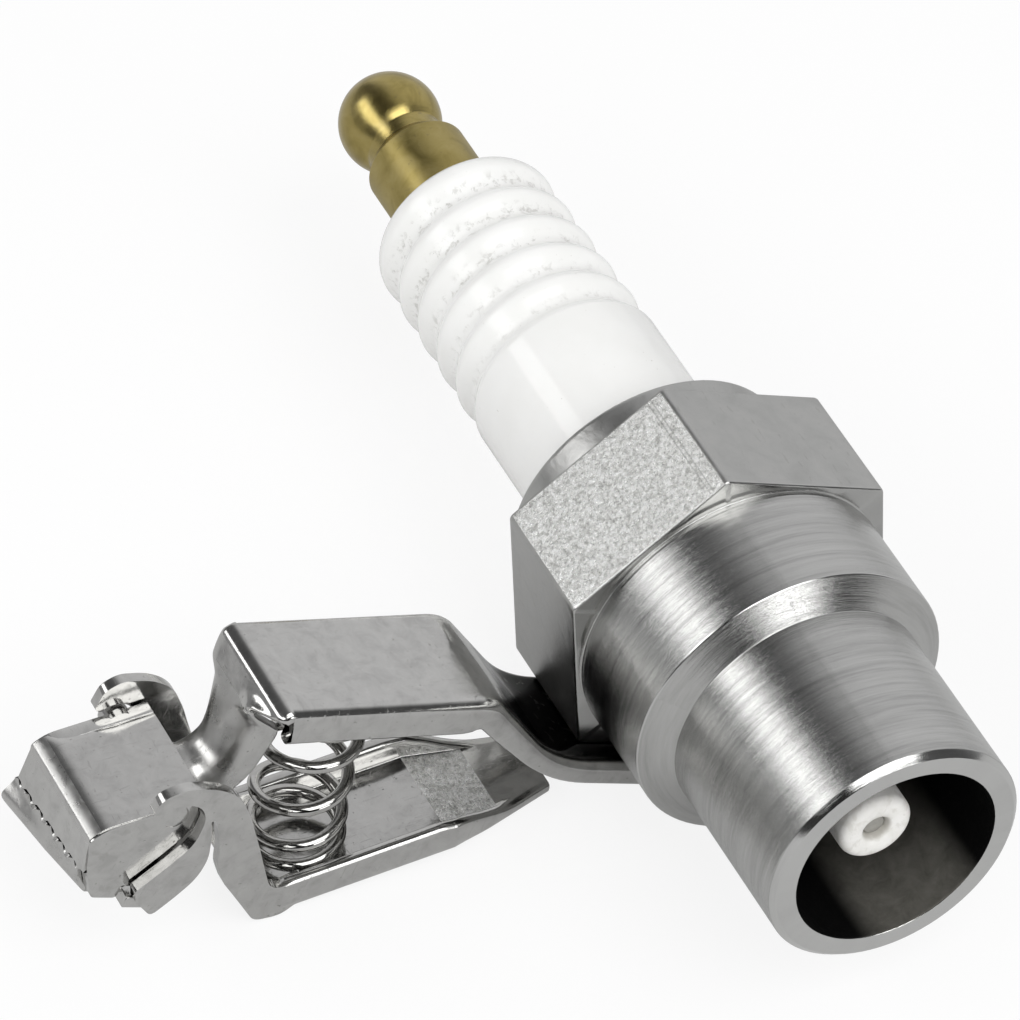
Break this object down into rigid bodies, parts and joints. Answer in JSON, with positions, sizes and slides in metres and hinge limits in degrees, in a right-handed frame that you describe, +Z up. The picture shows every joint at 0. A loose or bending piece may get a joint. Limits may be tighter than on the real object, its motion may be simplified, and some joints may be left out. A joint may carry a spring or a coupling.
{
  "type": "spark plug tester",
  "caption": "Spark plug without a side electrode, with a toothed spring clip fixed under its hexagon, for testing an ignition lead's spark against earthed metal.",
  "frame": {"origin": "centre of the bounding box's bottom face, on the surface that the tester lies on", "axes": "+Y along the plug's axis towards the brass terminal, +Z up, -X from the plug towards the clip's jaws"},
  "size_m": [0.0548, 0.0708, 0.0236],
  "materials": {
    "plated_steel": "zinc plated, turned, satin",
    "white_glaze": "glossy white glaze",
    "brass": "dull polished brass",
    "plain_steel": "bare steel",
    "dark_glass": "opaque conductive glass",
    "copper": "soft copper alloy",
    "talc": "pressed powder",
    "nickel": "glossy nickel plating, scratched",
    "spring_steel": "bright spring wire"
  },
  "bodies": {
    "plug": {"shell": "plated_steel", "insulator": "white_glaze", "terminal_nut": "brass", "terminal_stud": "plain_steel", "glass_seal": "dark_glass", "center_electrode": "plain_steel", "seat_washer": "copper", "lower_packing_ring": "plain_steel", "talc_packing": "talc", "upper_packing_ring": "plain_steel", "clip_upper": "nickel", "clip_spring": "spring_steel"},
    "lower_lever": {"clip_lower": "nickel"}
  },
  "joints": [
    {"name": "clip_pivot", "type": "hinge", "parent": "plug", "child": "lower_lever", "pos_m": [-0.02066, -0.01222, 0.0115], "axis": [0, -1, 0], "range_deg": [0, 6], "stiffness_Nm_per_rad": 0.2, "springref_deg": -14.32, "deforming": ["clip_spring"]}
  ]
}
